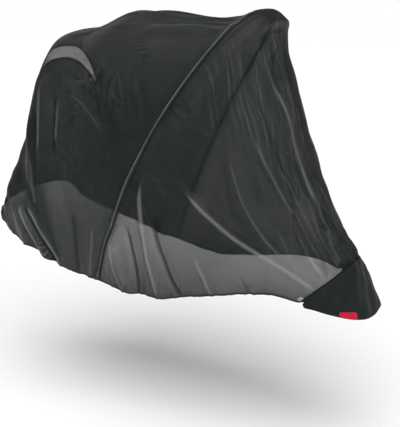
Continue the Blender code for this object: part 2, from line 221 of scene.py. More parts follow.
# Small wrinkles strewn where the cloth is loose or pulled: station, girth, how far they spread in
# each, how many, their direction in degrees from the girth, half length and height in millimetres
WRINKLE_COLUMNS = ("station", "girth", "station_spread", "girth_spread", "count", "direction",
                   "half_length", "height")
WRINKLE_PATCHES = (
    ("rear corner",  (2.6, 0.12, 1.4, 0.06,  8,  12, 50, 1.2)),
    ("rear side",    (5.2, 0.27, 0.9, 0.09, 12,   8, 45, 2.0)),
    ("seam foot",    (11.3, 0.10, 0.9, 0.08, 14,  30, 50, 2.2)),
    ("side",         (13.6, 0.12, 1.4, 0.09, 10,  45, 55, 1.8)),
    ("nose pull",    (17.0, 0.28, 0.8, 0.16, 18,  70, 40, 1.8)),
    ("front face",   (14.4, 0.46, 1.8, 0.06, 12,  88, 70, 1.8)),
    ("peak",         (11.5, 0.36, 0.6, 0.08, 10,  60, 40, 1.6)),
    ("roof edge",    (8.2, 0.45, 1.6, 0.04, 12,  88, 70, 1.8)),
)
WRINKLE_SEED = 11
WRINKLE_HALF_WIDTH = 7 * MM

# Narrow folds change the net's look as well as its shape, and their ridges get a painted highlight: the
# widest such fold, and a full one
CREASE_WIDEST = 12
CREASE_FULL = 6 * MM

# Where the net is pulled into fine lines, whose light ones also get a painted highlight: station, girth,
# spread in each, strength
PULLS = (
    ("front face",  (14.4, 0.470, 3.0, 0.130, 1.0)),
    ("nose corner", (16.8, 0.270, 1.3, 0.110, 0.6)),
    ("roof edge",   (8.3, 0.452, 1.8, 0.050, 1.0)),
    ("under peak",  (11.6, 0.375, 1.0, 0.050, 0.8)),
)

# Grid of each panel
GIRTH_STEPS = 276
REAR_STEPS, ROOF_STEPS = 78, 94
FRONT_STEPS = 170
NOSE_GIRTH_STEPS, NOSE_STEPS = 200, 90

# How far the net turns under at its edges, how far from the middle of the arched seam it ends, how
# far it runs on under the nose cloth, and where the nose cloth starts beyond its seam
TURN_UNDER, SEAM_HALF_GAP, UNDER_NOSE, NOSE_START = 4.0 * MM, 1 * MM, 7 * MM, 0.2 * MM

# Trims: half thicknesses of the tape and its beaded edges, of the hem's elastic and of the slot's
# rim, and how far these lie from the net's edge
TAPE_HALF_THICKNESS, TAPE_BEAD = 0.95 * MM, 0.35 * MM
HEM_HALF_THICKNESS = 1.25 * MM
RIM_HALF_WIDTH, RIM_HALF_THICKNESS, RIM_INSET = 3.4 * MM, 1.2 * MM, 4.1 * MM
HEM_GAP = 0.4 * MM

# Narrow strips beside the seams, near-black ones as painted shadow and a light one as painted highlight:
# height over the surface, half width
SEAM_SHADOW_FOLD, SEAM_HIGHLIGHT_PIPING = (0.6 * MM, 1.6 * MM), (0.9 * MM, 1.8 * MM)
NOSE_SHADOW_FOLD_OFFSET, NOSE_SHADOW_FOLD_HALF_WIDTH = -0.8 * MM, 1.7 * MM
BESIDE_TAPE, FOLD_HALF_THICKNESS = 1.0 * MM, 0.6 * MM

# Stitches: pitch, length and radius
NOSE_STITCH = 3.6 * MM, 2.7 * MM, 0.35 * MM
SEAM_STITCH = 4.0 * MM, 3.0 * MM, 0.40 * MM
HEM_STITCH = 4.6 * MM, 3.2 * MM, 0.38 * MM
HEM_STITCH_SLANT, HEM_STITCH_OFFSET = 0.6, 1.2 * MM
SEAM_STITCH_LIFT, HEM_STITCH_LIFT = 1.1 * MM, 1.35 * MM

# Tabs and tag: rounding of the corners, thickness, and height over the cover's surface
TAB_SIZES = 1.0 * MM, 1.3 * MM, 1.9 * MM
TAG_SIZES = 5.0 * MM, 1.2 * MM, 3.4 * MM
TAB_GRID, TAG_GRID = (14, 18), (24, 60)

# Lights: the way towards each, how wide it looks in degrees, and its strength
LIGHTS = {
    "overhead_light": ((0.15, -0.35, 1.0), 70.0, 2.6),
    "front_light": ((1.0, -0.55, 0.55), 40.0, 0.7),
    "rear_light": ((-1.0, 0.5, 0.8), 50.0, 0.4),
}
SEEN_LIGHT, FILL_LIGHT = 1.0, 0.22
FLOOR_HALF_SIZE = 14.0


def length_setting(name, description, default, smallest=0.0):
    return bpy.props.FloatProperty(name=name, description=description, default=default, min=smallest,
                                   unit="LENGTH", precision=5)


def share_setting(name, description, default, smallest=0.0, largest=1.0):
    return bpy.props.FloatProperty(name=name, description=description, default=default, min=smallest,
                                   max=largest)


def colour_setting(name, description, *colour):
    return bpy.props.FloatVectorProperty(name=name, description=description, default=(*colour, 1.0),
                                         subtype="COLOR", size=4, min=0.0, max=1.0)


class NetSettings(bpy.types.PropertyGroup):
    """The knitted net of the two large panels."""
    pitch: length_setting("Hole pitch", "Distance from hole to hole along a row", 2.6 * MM, 0.5 * MM)
    hole_radius: share_setting("Hole radius", "Radius of a hole as a share of the pitch", 0.314, 0.05, 0.5)
    hole_cover: share_setting("Hole cover", "How much of a hole its loose fibres cover", 0.28)
    yarn_cover: share_setting("Yarn cover", "How much light the thin yarn itself keeps back", 0.95)
    slant: share_setting("Slant", "How far the rows run off the panel's length, as a slope", 0.095, -0.5, 0.5)
    rear_tightness: share_setting(
        "Rear tightness", "How much smaller the holes of the loose rear panel are", 0.95, 0.5)
    thickness: length_setting("Net thickness", "Thickness of the net", 0.32 * MM, 0.1 * MM)
    colour: colour_setting("Yarn colour", "Colour of the net's yarn", 0.0085, 0.0120, 0.0110)
    # Painted highlight: this light yarn colour, blended in along narrow ridges and the fine light lines,
    # stands in for the net's sheen there
    ridge_highlight_colour: colour_setting("Ridge colour", "Colour of the shiny yarn along ridges", 0.15, 0.16, 0.155)


class TrimSettings(bpy.types.PropertyGroup):
    """Nose cloth, elastic, tape, tabs and tag."""
    nose_thickness: length_setting("Nose thickness", "Thickness of the woven nose cloth", 1.1 * MM, 0.2 * MM)
    nose_lift: length_setting("Nose lift", "Height of the nose cloth over the cover's surface", 1.5 * MM)
    hem_width: length_setting("Hem width", "Width of the elastic round the hem", 6.0 * MM, 2 * MM)
    tape_width: length_setting("Tape width", "Width of the tape on the arched seam", 7.0 * MM, 2 * MM)
    nose_colour: colour_setting("Nose colour", "Colour of the woven nose", 0.0080, 0.0115, 0.0100)
    elastic_colour: colour_setting("Elastic colour", "Colour of elastic and tape", 0.018, 0.022, 0.021)
    # Painted highlight: a light colour on the strip beside the arched seam stands in for the seam's shine
    piping_colour: colour_setting(
        "Piping colour", "Colour of the shiny edge along the arched seam", 0.105, 0.112, 0.110)
    thread_colour: colour_setting("Thread colour", "Colour of the sewing thread", 0.010, 0.012, 0.011)
    webbing_colour: colour_setting("Webbing colour", "Colour of the small tabs", 0.30, 0.305, 0.305)
    tag_colour: colour_setting("Tag colour", "Colour of the woven tag", 0.50, 0.006, 0.038)


class StageSettings(bpy.types.PropertyGroup):
    """Camera, light and floor."""
    camera_place: bpy.props.FloatVectorProperty(
        name="Camera place", description="Where the camera stands", subtype="TRANSLATION",
        unit="LENGTH", size=3, default=(1.15, -2.19, 0.099))
    camera_turn: bpy.props.FloatProperty(
        name="Camera turn", description="Turn of the camera about the vertical",
        default=np.radians(27.75), subtype="ANGLE")
    camera_tilt: bpy.props.FloatProperty(
        name="Camera tilt", description="How far the camera looks down",
        default=np.radians(15.2), subtype="ANGLE")
    lens: bpy.props.FloatProperty(
        name="Lens", description="Focal length in millimetres", default=72.5, min=10.0)
    floor_height: bpy.props.FloatProperty(
        name="Floor height", description="Height of the floor in the cover's frame",
        default=-1.141, unit="LENGTH")


# The surface

def station_values(station):
    """Columns of the station table, carried smoothly (Catmull-Rom) between its rows and straight on
    past its ends."""
    rows = np.array([row for _, row in STATIONS], float)
    length_columns = [STATION_COLUMNS.index(name) for name in STATION_COLUMNS if name != "squareness"]
    rows[:, length_columns] *= MM
    last = len(rows) - 1
    inside = np.clip(station, 0, last)
    index = np.minimum(np.floor(inside).astype(int), last - 1)
    part, beyond = (inside - index)[..., None], (station - inside)[..., None]
    before, start = rows[np.maximum(index - 1, 0)], rows[index]
    end, after = rows[index + 1], rows[np.minimum(index + 2, last)]
    start_slope, end_slope = (end - before) / 2, (after - start) / 2
    values = ((2 * part**3 - 3 * part**2 + 1) * start + (part**3 - 2 * part**2 + part) * start_slope
              + (3 * part**2 - 2 * part**3) * end + (part**3 - part**2) * end_slope
              + beyond * np.where(beyond < 0, start_slope, end_slope))
    return dict(zip(STATION_COLUMNS, np.moveaxis(values, -1, 0)))


def smooth_step(value):
    value = np.clip(value, 0, 1)
    return value * value * (3 - 2 * value)


def arch_point(station, girth):
    """A point of the plain surface: a superellipse from foot to crown, bowed towards the rear."""
    station, girth = np.broadcast_arrays(np.asarray(station, float), np.asarray(girth, float))
    arch = station_values(station)
    run, rise = arch["crown_x"] - arch["foot_x"], arch["crown_z"] - arch["foot_z"]
    chord = np.hypot(run, rise)
    turn = np.pi * (girth - CROWN) + CORNER_CROWDING * np.sin(4 * np.pi * (girth - CROWN))
    angle = np.arctan2(np.sin(turn) * np.sqrt(chord / arch["crown_half_width"]), np.cos(turn))
    power = arch["squareness"]
    radius = (np.abs(np.cos(angle))**power + np.abs(np.sin(angle))**power)**(-1 / power)
    height, side = radius * np.cos(angle), radius * np.sin(angle)
    half_width = (arch["foot_half_width"]
                  + (arch["crown_half_width"] - arch["foot_half_width"]) * smooth_step(height))
    bowed = 4 * height * (1 - height) * arch["bow"]
    return np.stack([arch["foot_x"] + run * height - rise / chord * bowed,
                     side * half_width,
                     arch["foot_z"] + rise * height + run / chord * bowed], -1)


def arch_slopes(station, girth):
    """How the plain surface moves for one station and for one whole girth."""
    station_step, girth_step = 0.02, 0.002
    along = arch_point(station + station_step, girth) - arch_point(station - station_step, girth)
    around = arch_point(station, girth + girth_step) - arch_point(station, girth - girth_step)
    return along / (2 * station_step), around / (2 * girth_step)


def fold_height(across, place, half_width, height):
    """A soft ridge or trough: a bell across the fold, fading out at both of its ends."""
    ends = smooth_step(place / FOLD_FADE) * smooth_step((1 - place) / FOLD_FADE)
    return height * MM * ends * np.exp(-(across / (half_width * MM))**2)


def folds(station, girth, station_length, girth_length, widest=np.inf):
    """The named folds of both sides together, measured along the surface's normal."""
    total = np.zeros(np.shape(station))
    held = smooth_step((NOSE_SEAM - station) / NOSE_HOLD)
    for far in (False, True):
        side_girth = 1 - girth if far else girth
        side_station = station - FAR_SHIFT_STATIONS if far else station
        tables = ((LONG_FOLDS, side_station, side_girth, girth_length),
                  (RISING_FOLDS, side_girth, side_station, station_length))
        for rows, run, beside, length in tables:
            for row in rows:
                fold = dict(zip(FOLD_COLUMNS, row))
                if fold["half_width"] > widest or (far and not fold["both_sides"]):
                    continue
                place = (run - fold["from_run"]) / (fold["to_run"] - fold["from_run"])
                line = (fold["from_line"] + (fold["to_line"] - fold["from_line"]) * place
                        + fold["bend"] * 4 * place * (1 - place))
                share = (FAR_SHARE if far else 1) * (held if fold["half_width"] <= CREASE_WIDEST else 1)
                across = (beside - line) * length
                total += share * fold_height(across, place, fold["half_width"], fold["height"])
    return total


def waves(station, girth):
    """Slow unevenness: a few sine waves that run slantwise over the cover."""
    total = np.zeros(np.shape(station))
    for row in WAVES:
        wave = dict(zip(WAVE_COLUMNS, row))
        total += wave["height"] * MM * np.sin(
            2 * np.pi * (wave["per_station"] * station + wave["over_girth"] * girth) + wave["phase"])
    return total


def wrinkles(station, girth, station_length, girth_length):
    """Small wrinkles: short bells laid at seeded places and turns inside each patch, on both sides."""
    total = np.zeros(np.shape(station))
    draw = np.random.default_rng(WRINKLE_SEED)
    for _, row in WRINKLE_PATCHES:
        patch = dict(zip(WRINKLE_COLUMNS, row))
        for _ in range(patch["count"]):
            place = draw.uniform(-1, 1, 2)
            turn = np.radians(patch["direction"] + draw.uniform(-14, 14))
            height = patch["height"] * MM * draw.uniform(0.5, 1.0) * draw.choice((-1, 1))
            half_length = patch["half_length"] * MM * draw.uniform(0.6, 1.2)
            for far in (False, True):
                middle_station = patch["station"] + place[0] * patch["station_spread"]
                middle_girth = patch["girth"] + place[1] * patch["girth_spread"]
                if far:
                    middle_station += FAR_SHIFT_STATIONS
                    middle_girth = 1 - middle_girth
                u = (girth - middle_girth) * girth_length * (-1 if far else 1)
                v = (station - middle_station) * station_length
                lengthways = (u * np.cos(turn) + v * np.sin(turn)) / half_length
                crossways = (v * np.cos(turn) - u * np.sin(turn)) / WRINKLE_HALF_WIDTH
                total += height * np.exp(-lengthways**2 - crossways**2)
    return total * smooth_step((NOSE_SEAM + 0.1 - station) / 0.5)


def puckers(station, girth, along, around):
    """Gathers beside the elastic: uneven waves along the hem, which itself is drawn inwards, all
    dying away from it."""
    slant = np.linalg.norm(np.cross(along, around), axis=-1)
    side_distance = np.minimum(girth, 1 - girth) * slant / np.linalg.norm(along, axis=-1)
    rear_distance = station * slant / np.linalg.norm(around, axis=-1)
    run = arch_point(station, girth)
    total = np.zeros(np.shape(station))
    for height, per_metre, phase in PUCKERS:
        by_side = np.sin(2 * np.pi * per_metre * run[..., 0] + phase + 2 * np.sin(9 * run[..., 0]))
        by_rear = np.sin(2 * np.pi * per_metre * run[..., 1] + phase + 2 * np.sin(11 * run[..., 1]))
        total += height * MM * (by_side * np.exp(-np.maximum(side_distance, 0) / PUCKER_REACH)
                                + by_rear * np.exp(-np.maximum(rear_distance, 0) / PUCKER_REACH))
    from_hem = np.maximum(np.minimum(side_distance, rear_distance), 0)
    total -= HEM_DRAW * np.exp(-from_hem / PUCKER_REACH)
    fades_at_nose = smooth_step((NOSE_SEAM - station) / 1.5)
    return total * fades_at_nose


def cover_point(station, girth, lift=0.0):
    """A point of the folded surface, lifted off it by a distance along the normal."""
    station, girth = np.broadcast_arrays(np.asarray(station, float), np.asarray(girth, float))
    along, around = arch_slopes(station, girth)
    normal = np.cross(along, around)
    normal /= np.linalg.norm(normal, axis=-1, keepdims=True)
    station_length, girth_length = np.linalg.norm(along, axis=-1), np.linalg.norm(around, axis=-1)
    height = folds(station, girth, station_length, girth_length) + waves(station, girth)
    height += wrinkles(station, girth, station_length, girth_length)
    height += puckers(station, girth, along, around)
    return arch_point(station, girth) + normal * (height + lift)[..., None]


def stations_for(distance, station, girth):
    """The step in station that moves a point by a distance square to its arch."""
    along, around = arch_slopes(station, girth)
    return distance * np.linalg.norm(around, axis=-1) / np.linalg.norm(np.cross(along, around), axis=-1)


def girth_for(distance, station, girth):
    """The step in girth that moves a point by a distance square to the hem."""
    along, around = arch_slopes(station, girth)
    return distance * np.linalg.norm(along, axis=-1) / np.linalg.norm(np.cross(along, around), axis=-1)


# Meshes

def drawn_in(station, girth):
    """How tightly the elastic draws the net in, from 0 to 1: arches that lie closer together at the
    hem than at the crown crowd the net there."""
    crown = np.linalg.norm(arch_slopes(station, np.full(np.shape(girth), CROWN))[0], axis=-1)
    along, around = arch_slopes(station, girth)
    here = np.linalg.norm(along, axis=-1)
    hem_distance = np.minimum(girth, 1 - girth) * np.linalg.norm(np.cross(along, around), axis=-1) / here
    beside_hem = 0.6 * np.exp(-np.maximum(hem_distance, 0) / GATHER_REACH)
    return np.clip(smooth_step((0.95 - here / crown) / 0.75) + beside_hem, 0, 1)


def crease_share(station, girth):
    """How far up a narrow ridge a point lies, towards 1, or down a narrow valley, towards -1."""
    along, around = arch_slopes(station, girth)
    lengths = np.linalg.norm(along, axis=-1), np.linalg.norm(around, axis=-1)
    return np.clip(folds(station, girth, *lengths, widest=CREASE_WIDEST) / CREASE_FULL, -1, 1)


def pull_share(station, girth):
    """How much the net is pulled into fine lines along the panel: soft bells on both sides."""
    total = np.zeros(np.shape(station))
    for _, (middle_station, middle_girth, station_spread, girth_spread, weight) in PULLS:
        for side_girth in (girth, 1 - girth):
            total += weight * np.exp(-((station - middle_station) / station_spread)**4
                                     - ((side_girth - middle_girth) / girth_spread)**4)
    return np.clip(total, 0, 1)


def add_piece(name, points, faces, material, uv=None, sharp=1.0):
    """Puts points and faces into a new mesh object that rides on the cover's body."""
    mesh = bpy.data.meshes.new(name)
    mesh.from_pydata(points.tolist(), [], faces if isinstance(faces, list) else faces.tolist())
    if uv is not None:
        loops = np.zeros(len(mesh.loops), int)
        mesh.loops.foreach_get("vertex_index", loops)
        layer = mesh.uv_layers.new(name=CLOTH_UV)
        layer.data.foreach_set("uv", uv[loops].ravel().astype(np.float32))
    mesh.materials.append(material)
    mesh.shade_smooth()
    mesh.set_sharp_from_angle(angle=sharp)
    piece = bpy.data.objects.new(name, mesh)
    bpy.context.scene.collection.objects.link(piece)
    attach(piece, BODY)
    return piece


def face_outwards(piece):
    """Turns the faces of a closed piece outwards."""
    shell = bmesh.new()
    shell.from_mesh(piece.data)
    bmesh.ops.recalc_face_normals(shell, faces=shell.faces)
    shell.to_mesh(piece.data)
    shell.free()


def grid_faces(indices):
    """Quads of a grid of vertex indices, wound so that they face outwards."""
    corners = (indices[:-1, :-1], indices[1:, :-1], indices[1:, 1:], indices[:-1, 1:])
    return np.stack([corner.ravel() for corner in corners], -1)


def rim_faces(faces, count):
    """Quads that join the open edges of the outer faces to the same edges of the inner ones."""
    starts, ends = faces.ravel(), np.roll(faces, -1, axis=1).ravel()
    is_open = ~np.isin(starts * count + ends, ends * count + starts)
    starts, ends = starts[is_open], ends[is_open]
    return np.stack([ends, starts, starts + count, ends + count], -1)


def metric_uv(station, girth):
    """Cloth coordinates in metres: running length from the crown round each arch, and from the
    first row along each column."""
    points = arch_point(station, girth)
    steps_around = np.linalg.norm(np.diff(points, axis=1), axis=-1)
    steps_along = np.linalg.norm(np.diff(points, axis=0), axis=-1)
    around = np.concatenate([np.zeros((len(points), 1)), np.cumsum(steps_around, axis=1)], axis=1)
    around -= around[:, [points.shape[1] // 2]]
    along = np.concatenate([np.zeros((1, points.shape[1])), np.cumsum(steps_along, axis=0)])
    return np.stack([around, along], -1)


def add_cloth(name, station, girth, faces, uv, thickness, material, lift=0.0):
    """One closed sheet: an outer and an inner face half a thickness off the surface, and a rim."""
    used, faces = np.unique(faces, return_inverse=True)
    faces = faces.reshape(-1, 4)
    station, girth, uv = station.ravel()[used], girth.ravel()[used], uv.reshape(-1, 2)[used]
    outer = cover_point(station, girth, lift + thickness / 2)
    inner = cover_point(station, girth, lift - thickness / 2)
    count = len(used)
    faces = np.concatenate([faces, faces[:, ::-1] + count, rim_faces(faces, count)])
    piece = add_piece(name, np.concatenate([outer, inner]), faces, material, np.concatenate([uv, uv]))
    for attribute, share in ((CROWDING, drawn_in), (CREASE, crease_share), (PULL, pull_share)):
        values = np.tile(share(station, girth), 2)
        piece.data.attributes.new(attribute, "FLOAT", "POINT").data.foreach_set("value", values)
    return piece


def rows_between(start, end, steps):
    """Rows running from a start line to an end line in even steps."""
    place = np.linspace(0, 1, steps + 1)[:, None]
    return start + (end - start) * place


def girth_line(steps):
    return np.linspace(0, 1, steps + 1)


def with_turned_edges(station):
    """Girths of a grid whose first and last columns run on under the elastic."""
    girth = np.broadcast_to(girth_line(station.shape[1] - 3), (len(station), station.shape[1] - 2))
    near = -girth_for(TURN_UNDER, station[:, 0], np.zeros(len(station)))
    far = 1 + girth_for(TURN_UNDER, station[:, -1], np.ones(len(station)))
    return np.concatenate([near[:, None], girth, far[:, None]], axis=1)


def repeat_edges(station):
    """Adds a copy of the first and the last column, for the turned edges."""
    return np.concatenate([station[:, :1], station, station[:, -1:]], axis=1)


def seam_line(station, offset, steps):
    """Stations of a line that runs beside a seam at a distance from it."""
    girth = girth_line(steps)
    return station + stations_for(offset, np.full(girth.shape, float(station)), girth)


def slot_sizes(inset):
    """Half stations and half girth of the slot's lens, drawn in by a distance."""
    middle = np.array([SLOT_STATION]), np.array([CROWN])
    return (SLOT_HALF_STATIONS - float(stations_for(inset, *middle)[0]),
            SLOT_HALF_GIRTH - float(girth_for(inset, *middle)[0]))


def slot_opening(station, girth, inset):
    """How far the slot's lens has pushed a point of the rear panel along, in stations."""
    half_stations, half_girth = slot_sizes(inset)
    inside = np.clip(1 - ((girth - CROWN) / half_girth)**2, 0, 1)
    nearness = np.clip(1 - np.abs(station - SLOT_STATION) / SLOT_SPREAD_STATIONS, 0, 1)
    return half_stations * np.sqrt(inside) * smooth_step(nearness)


def make_rear_net(material, thickness):
    """Two grids that share their columns beside the slot and part round its lens."""
    line = girth_line(GIRTH_STEPS)
    rear_edge = REAR_HEM - stations_for(TURN_UNDER, np.zeros(line.shape), line)
    slot_row = np.full(line.shape, SLOT_STATION)
    rear = repeat_edges(rows_between(rear_edge, slot_row, REAR_STEPS))
    seam_row = seam_line(ARCHED_SEAM, -SEAM_HALF_GAP, GIRTH_STEPS)
    roof = repeat_edges(rows_between(slot_row, seam_row, ROOF_STEPS))
    rear_girth, roof_girth = with_turned_edges(rear), with_turned_edges(roof)
    rear_index = np.arange(rear.size).reshape(rear.shape)
    roof_index = np.arange(roof.size).reshape(roof.shape) + rear.size
    closed = np.abs(rear_girth[-1] - CROWN) >= slot_sizes(TURN_UNDER)[1]
    roof_index[0, closed] = rear_index[-1, closed]
    opened_rear = rear - slot_opening(rear, rear_girth, TURN_UNDER)
    opened_roof = roof + slot_opening(roof, roof_girth, TURN_UNDER)
    station = np.concatenate([opened_rear, opened_roof])
    girth = np.concatenate([rear_girth, roof_girth])
    faces = np.concatenate([grid_faces(rear_index), grid_faces(roof_index)])
    return add_cloth("rear_net", station, girth, faces, metric_uv(station, girth), thickness, material)


def make_front_net(material, thickness):
    """A grid from the arched seam to a little way under the nose cloth."""
    start = seam_line(ARCHED_SEAM, SEAM_HALF_GAP, GIRTH_STEPS)
    rows = rows_between(start, seam_line(NOSE_SEAM, UNDER_NOSE, GIRTH_STEPS), FRONT_STEPS)
    station = repeat_edges(rows)
    girth = with_turned_edges(station)
    faces = grid_faces(np.arange(station.size).reshape(station.shape))
    return add_cloth("front_net", station, girth, faces, metric_uv(station, girth), thickness, material)


def make_nose_cloth(material, thickness, lift):
    station = rows_between(seam_line(NOSE_SEAM, NOSE_START, NOSE_GIRTH_STEPS),
                           np.full(NOSE_GIRTH_STEPS + 1, NOSE_HEM), NOSE_STEPS)
    girth = np.broadcast_to(girth_line(NOSE_GIRTH_STEPS), station.shape)
    faces = grid_faces(np.arange(station.size).reshape(station.shape))
    return add_cloth("nose_cloth", station, girth, faces, metric_uv(station, girth), thickness,
                     material, lift)


# Strips and stitches along lines on the surface

def unit(vectors):
    return vectors / np.linalg.norm(vectors, axis=-1, keepdims=True)


def line_frame(station, girth, lift=0.0, closed=False):
    """Points of a line on the surface, with its direction, the way across it and the way out."""
    points = cover_point(station, girth, lift)
    if closed:
        ahead = np.roll(points, -1, axis=0) - np.roll(points, 1, axis=0)
    else:
        ahead = np.gradient(points, axis=0)
    ahead = unit(ahead)
    along, around = arch_slopes(station, girth)
    out = unit(np.cross(along, around))
    across = unit(np.cross(out, ahead))
    return points, ahead, across, np.cross(ahead, across)


def rounded_profile(half_width, half_thickness, count, edge_bead=0.0):
    """A flat rounded outline: a superellipse whose edges may be a little thicker."""
    angle = np.linspace(0, 2 * np.pi, count, endpoint=False)
    across = np.sign(np.cos(angle)) * np.abs(np.cos(angle))**0.5
    out = np.sign(np.sin(angle)) * np.abs(np.sin(angle))**0.7
    return np.stack([across * half_width, out * (half_thickness + edge_bead * across**4)], -1)


def add_strip(name, line, profile, material, closed=False, swell=None):
    """A profile carried along a line, with its ends closed, its thickness scaled by swell."""
    points, _, across, out = line
    count, sides = len(points), len(profile)
    scale = np.ones(count) if swell is None else swell
    rings = (points[:, None] + across[:, None] * profile[None, :, :1]
             + out[:, None] * profile[None, :, 1:] * scale[:, None, None])
    index = np.arange(count * sides).reshape(count, sides)
    index = np.concatenate([index, index[:, :1]], axis=1)
    if closed:
        index = np.concatenate([index, index[:1]])
    faces = grid_faces(index).tolist()
    if not closed:
        faces += [index[0, :-1].tolist(), index[-1, :-1].tolist()]
    step = np.linalg.norm(np.diff(points, axis=0), axis=-1)
    run = np.concatenate([[0.0], np.cumsum(step)])
    edge = np.cumsum(np.linalg.norm(np.diff(profile, axis=0, prepend=profile[-1:]), axis=-1))
    uv = np.stack(np.broadcast_arrays(edge[None, :], run[:, None]), -1).reshape(-1, 2)
    piece = add_piece(name, rings.reshape(-1, 3), faces, material, uv)
    face_outwards(piece)
    return piece


# A stitch is a small tube: places along it and the thickness there, as shares of the whole
STITCH_RINGS = ((-0.5, 0.35), (-0.25, 1.0), (0.25, 1.0), (0.5, 0.35))
STITCH_SIDES = 6
STITCH_SINK = 0.6


def stitches_along(line, pitch, length, radius, slant=0.0, offset=0.0):
    """Short rounded threads, one for each pitch of a line: rings of a small tube, bowed a little."""
    points, ahead, across, out = line
    step = np.linalg.norm(np.diff(points, axis=0), axis=-1)
    run = np.concatenate([[0.0], np.cumsum(step)])
    places = np.arange(pitch / 2, run[-1], pitch)

    def at_places(values):
        return np.stack([np.interp(places, run, values[:, axis]) for axis in range(3)], -1)

    middle, ahead, across, out = (at_places(values) for values in (points, ahead, across, out))
    ahead, across, out = unit(ahead), unit(across), unit(out)
    turned = ahead * np.cos(slant) + across * np.sin(slant)
    beside = np.cross(out, turned)
    middle = middle + across * offset
    rings = []
    for place, share in STITCH_RINGS:
        for side in range(STITCH_SIDES):
            angle = 2 * np.pi * side / STITCH_SIDES
            rings.append(middle + turned * place * length
                         + beside * (np.cos(angle) * share * radius)
                         + out * ((np.sin(angle) * share + STITCH_SINK * (share - 1)) * radius))
    points = np.stack(rings, 1)
    index = np.arange(len(STITCH_RINGS) * STITCH_SIDES).reshape(len(STITCH_RINGS), STITCH_SIDES)
    ring = grid_faces(np.concatenate([index, index[:, :1]], axis=1))
    size = index.size
    faces = (ring[None] + (np.arange(len(places)) * size)[:, None, None]).reshape(-1, 4).tolist()
    for place in range(len(places)):
        faces.append((index[0] + place * size).tolist())
        faces.append((index[-1][::-1] + place * size).tolist())
    return points.reshape(-1, 3), faces


def add_stitches(name, rows, material):
    """Joins rows of stitches into one piece."""
    points, faces, count = [], [], 0
    for row_points, row_faces in rows:
        points.append(row_points)
        faces += [[corner + count for corner in face] for face in row_faces]
        count += len(row_points)
    piece = add_piece(name, np.concatenate(points), faces, material)
    face_outwards(piece)
    return piece


def hem_line(distance):
    """Stations and girths of a line outside the open hem, rounding its two rear corners."""
    side_station = np.linspace(NOSE_SEAM, REAR_HEM, 1500)
    side_station[0] = NOSE_SEAM - 0.005
    near = side_station, -girth_for(distance, side_station, np.zeros(side_station.shape))
    turn = np.linspace(0, np.pi / 2, 10)[1:-1]
    station_step = float(stations_for(distance, np.zeros(1), np.zeros(1))[0])
    girth_step = float(girth_for(distance, np.zeros(1), np.zeros(1))[0])
    corner = -station_step * np.sin(turn), -girth_step * np.cos(turn)
    rear_girth = np.linspace(0, 1, 300)
    rear = -stations_for(distance, np.zeros(rear_girth.shape), rear_girth), rear_girth
    station = np.concatenate([near[0], corner[0], rear[0], corner[0][::-1], near[0][::-1]])
    girth = np.concatenate([near[1], corner[1], rear[1], 1 - corner[1][::-1], 1 - near[1][::-1]])
    return station, girth


def slot_line(distance, count=420):
    """Stations and girths of a ring inside the slot, at a distance from its edge."""
    angle = np.linspace(0, 2 * np.pi, count, endpoint=False)
    half_stations, half_girth = slot_sizes(distance)
    return SLOT_STATION + half_stations * np.sin(angle), CROWN + half_girth * np.cos(angle)


def gathered(run, seed):
    """Uneven swelling along gathered elastic: three waves of 5 to 11 mm, with drifting phase."""
    draw = np.random.default_rng(seed)
    drift = 1.5 * np.sin(run * 21 + draw.uniform(0, 6)) + np.sin(run * 47 + draw.uniform(0, 6))
    return (1 + 0.22 * np.sin(2 * np.pi * run / (6.3 * MM) + drift)
            + 0.14 * np.sin(2 * np.pi * run / (10.7 * MM) + 2 * drift)
            + 0.08 * np.sin(2 * np.pi * run / (4.1 * MM)))


def running_length(points):
    return np.concatenate([[0.0], np.cumsum(np.linalg.norm(np.diff(points, axis=0), axis=-1))])


def add_patch(name, stations, girths, steps, corner, thickness, lift, material):
    """A small sewn piece: rows that grow narrower by the rounding of its corners, in metres."""
    middle_station, half_stations = np.mean(stations), np.ptp(stations) / 2
    middle_girth, half_girth = np.mean(girths), np.ptp(girths) / 2
    middle = np.array([middle_station]), np.array([middle_girth])
    half_height = float(half_stations / stations_for(1.0, *middle)[0])
    half_width = float(half_girth / girth_for(1.0, *middle)[0])
    u, v = np.meshgrid(np.sin(np.linspace(-np.pi / 2, np.pi / 2, steps[0] + 1)),
                       np.linspace(-1, 1, steps[1] + 1), indexing="ij")
    into_corner = np.maximum(np.abs(u) * half_height - (half_height - corner), 0)
    row_share = 1 - (corner - np.sqrt(corner**2 - np.minimum(into_corner, corner * 0.98)**2)) / half_width
    station, girth = middle_station + half_stations * u, middle_girth + half_girth * v * row_share
    faces = grid_faces(np.arange(u.size).reshape(u.shape))
    return add_cloth(name, station, girth, faces, metric_uv(station, girth), thickness, material, lift)


# Materials

class Wire:
    """A node's output that can be used in Python sums, which add Math nodes."""

    def __init__(self, graph, socket):
        self.graph, self.socket = graph, socket

    def maths(self, operation, *values):
        sockets = dict(enumerate((self, *values)))
        return self.graph.add("ShaderNodeMath", {"operation": operation}, sockets)

    def __add__(self, other):
        return self.maths("ADD", other)

    def __mul__(self, other):
        return self.maths("MULTIPLY", other)

    def __sub__(self, other):
        return self.maths("SUBTRACT", other)

    def __rsub__(self, other):
        return self.graph.add("ShaderNodeMath", {"operation": "SUBTRACT"}, {0: other, 1: self})

    def __truediv__(self, other):
        return self.maths("DIVIDE", other)

    def fraction(self):
        return self.maths("FRACT")

    def smallest(self, other):
        return self.maths("MINIMUM", other)

    def root(self):
        return self.maths("SQRT")

    def sine(self):
        return self.maths("SINE")

    def between(self, low, high):
        """0 below low and 1 above high, smoothly."""
        return self.graph.add("ShaderNodeMapRange", {"interpolation_type": "SMOOTHSTEP"},
                              {"Value": self, "From Min": low, "From Max": high})


